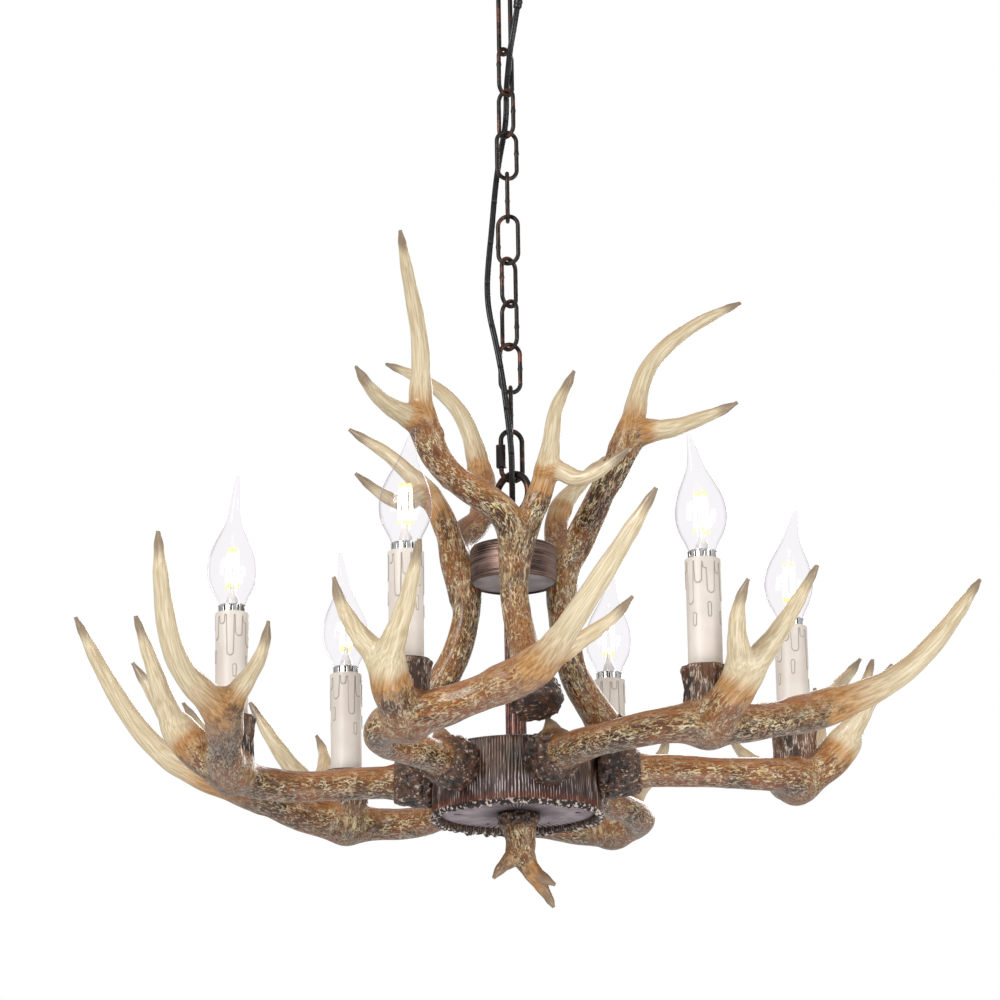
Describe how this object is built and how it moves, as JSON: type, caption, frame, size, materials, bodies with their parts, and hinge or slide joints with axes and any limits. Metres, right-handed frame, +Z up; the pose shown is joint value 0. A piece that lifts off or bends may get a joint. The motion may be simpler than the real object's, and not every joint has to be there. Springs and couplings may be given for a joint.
{
  "type": "antler chandelier",
  "caption": "Chain-hung chandelier with branching antlers on a round hub, candle lamps in their cups and upstanding antlers round a collar.",
  "frame": {"origin": "centre of the face that the bracket holds to the ceiling", "axes": "+Z up along the chain and rod, -Y towards the pictured side, +X to that viewer's right"},
  "size_m": [0.6437, 0.64, 0.7564],
  "materials": {
    "antler": "hand-painted cast resin, brown with gold ridges and pale tines",
    "candle": "ivory candle sleeve with moulded wax runs",
    "lamp_glass": "clear blown glass",
    "lamp_cap": "threaded lamp cap",
    "plated_steel": "zinc plated",
    "dark_bronze": "dark bronze with copper rub on the edges",
    "moulded_plastic": "moulded",
    "cord": "black twin flex",
    "tape": "black insulating tape",
    "aged_copper": "brushed antique copper",
    "painted_rod": "reddish brown over reeding",
    "hub_plate": "pale mauve-grey paint",
    "bark": "cast resin with a bark surface, brown over mauve",
    "lampholder": "bright collar over a moulded body"
  },
  "bodies": {
    "ceiling_mount": {"ceiling_bracket": "plated_steel", "canopy": "dark_bronze", "canopy_nuts": "dark_bronze", "canopy_loop": "dark_bronze", "cord_grip": "moulded_plastic", "wire_connectors": "moulded_plastic", "cord": "cord"},
    "hook": {"hook": "dark_bronze", "cord_tape": "tape"},
    "link_1": {"chain_link_1": "dark_bronze"},
    "link_2": {"chain_link_2": "dark_bronze"},
    "link_3": {"chain_link_3": "dark_bronze"},
    "link_4": {"chain_link_4": "dark_bronze"},
    "link_5": {"chain_link_5": "dark_bronze"},
    "link_6": {"chain_link_6": "dark_bronze"},
    "link_7": {"chain_link_7": "dark_bronze"},
    "link_8": {"chain_link_8": "dark_bronze"},
    "link_9": {"chain_link_9": "dark_bronze"},
    "quick_link": {"quick_link": "dark_bronze"},
    "quick_link_nut": {"quick_link_nut": "dark_bronze"},
    "fixture": {"fixture_ring": "dark_bronze", "cord_bushing": "moulded_plastic", "collar_drum": "aged_copper", "collar_plate": "hub_plate", "center_rod": "painted_rod", "tie_rod": "plated_steel", "tie_rod_nuts": "plated_steel", "hub_shell": "bark", "hub_floor_plate": "hub_plate", "hub_connectors": "moulded_plastic", "fixing_bolts": "plated_steel", "finial_antler": "antler", "arm_antler_1": "antler", "arm_antler_2": "antler", "arm_antler_3": "antler", "arm_antler_4": "antler", "arm_antler_5": "antler", "arm_antler_6": "antler", "crown_antler_1": "antler", "crown_antler_2": "antler", "crown_antler_3": "antler", "candle_sleeve_1": "candle", "candle_sleeve_2": "candle", "candle_sleeve_3": "candle", "candle_sleeve_4": "candle", "candle_sleeve_5": "candle", "candle_sleeve_6": "candle", "lampholders": "lampholder"},
    "bulb_1": {"bulb_glass_1": "lamp_glass", "bulb_cap_1": "lamp_cap"},
    "bulb_2": {"bulb_glass_2": "lamp_glass", "bulb_cap_2": "lamp_cap"},
    "bulb_3": {"bulb_glass_3": "lamp_glass", "bulb_cap_3": "lamp_cap"},
    "bulb_4": {"bulb_glass_4": "lamp_glass", "bulb_cap_4": "lamp_cap"},
    "bulb_5": {"bulb_glass_5": "lamp_glass", "bulb_cap_5": "lamp_cap"},
    "bulb_6": {"bulb_glass_6": "lamp_glass", "bulb_cap_6": "lamp_cap"}
  },
  "joints": [
    {"name": "hook_swing", "type": "hinge", "parent": "ceiling_mount", "child": "hook", "pos_m": [0, 0, -0.051], "axis": [0.6428, 0.766, 0], "range_deg": [-7, 7], "deforming": ["cord"]},
    {"name": "link_1_swing", "type": "hinge", "parent": "hook", "child": "link_1", "pos_m": [0, 0, -0.11845], "axis": [0.766, -0.6428, 0], "range_deg": [-7, 7], "deforming": ["cord"]},
    {"name": "link_2_swing", "type": "hinge", "parent": "link_1", "child": "link_2", "pos_m": [0, 0, -0.1512], "axis": [0.6428, 0.766, 0], "range_deg": [-7, 7], "deforming": ["cord"]},
    {"name": "link_3_swing", "type": "hinge", "parent": "link_2", "child": "link_3", "pos_m": [0, 0, -0.1841], "axis": [0.7071, -0.7071, 0], "range_deg": [-7, 7], "deforming": ["cord"]},
    {"name": "link_4_swing", "type": "hinge", "parent": "link_3", "child": "link_4", "pos_m": [0, 0, -0.217], "axis": [0.9659, 0.2588, 0], "range_deg": [-7, 7], "deforming": ["cord"]},
    {"name": "link_5_swing", "type": "hinge", "parent": "link_4", "child": "link_5", "pos_m": [0, 0, -0.2499], "axis": [0, 1, 0], "range_deg": [-7, 7], "deforming": ["cord"]},
    {"name": "link_6_swing", "type": "hinge", "parent": "link_5", "child": "link_6", "pos_m": [0, 0, -0.2828], "axis": [0.9781, -0.2079, 0], "range_deg": [-7, 7], "deforming": ["cord"]},
    {"name": "link_7_swing", "type": "hinge", "parent": "link_6", "child": "link_7", "pos_m": [0, 0, -0.3157], "axis": [0.6691, 0.7431, 0], "range_deg": [-7, 7], "deforming": ["cord"]},
    {"name": "link_8_swing", "type": "hinge", "parent": "link_7", "child": "link_8", "pos_m": [0, 0, -0.3486], "axis": [0.7071, -0.7071, 0], "range_deg": [-7, 7], "deforming": ["cord"]},
    {"name": "link_9_swing", "type": "hinge", "parent": "link_8", "child": "link_9", "pos_m": [0, 0, -0.3815], "axis": [0.9659, 0.2588, 0], "range_deg": [-7, 7], "deforming": ["cord"]},
    {"name": "quick_link_swing", "type": "hinge", "parent": "link_9", "child": "quick_link", "pos_m": [0, 0, -0.4144], "axis": [0, 1, 0], "range_deg": [-7, 7], "deforming": ["cord"]},
    {"name": "fixture_swing", "type": "hinge", "parent": "quick_link", "child": "fixture", "pos_m": [0, 0, -0.4481], "axis": [0.9397, 0.342, 0], "range_deg": [-7, 7], "deforming": ["cord"]},
    {"name": "quick_link_nut_slide", "type": "slide", "parent": "quick_link", "child": "quick_link_nut", "axis": [0, 0, 1], "range_m": [0, 0.0035]},
    {"name": "bulb_1_out", "type": "slide", "parent": "fixture", "child": "bulb_1", "axis": [0, 0, 1], "range_m": [0, 0.03]},
    {"name": "bulb_2_out", "type": "slide", "parent": "fixture", "child": "bulb_2", "axis": [0, 0, 1], "range_m": [0, 0.03]},
    {"name": "bulb_3_out", "type": "slide", "parent": "fixture", "child": "bulb_3", "axis": [0, 0, 1], "range_m": [0, 0.03]},
    {"name": "bulb_4_out", "type": "slide", "parent": "fixture", "child": "bulb_4", "axis": [0, 0, 1], "range_m": [0, 0.03]},
    {"name": "bulb_5_out", "type": "slide", "parent": "fixture", "child": "bulb_5", "axis": [0, 0, 1], "range_m": [0, 0.03]},
    {"name": "bulb_6_out", "type": "slide", "parent": "fixture", "child": "bulb_6", "axis": [0, 0, 1], "range_m": [0, 0.03]}
  ]
}
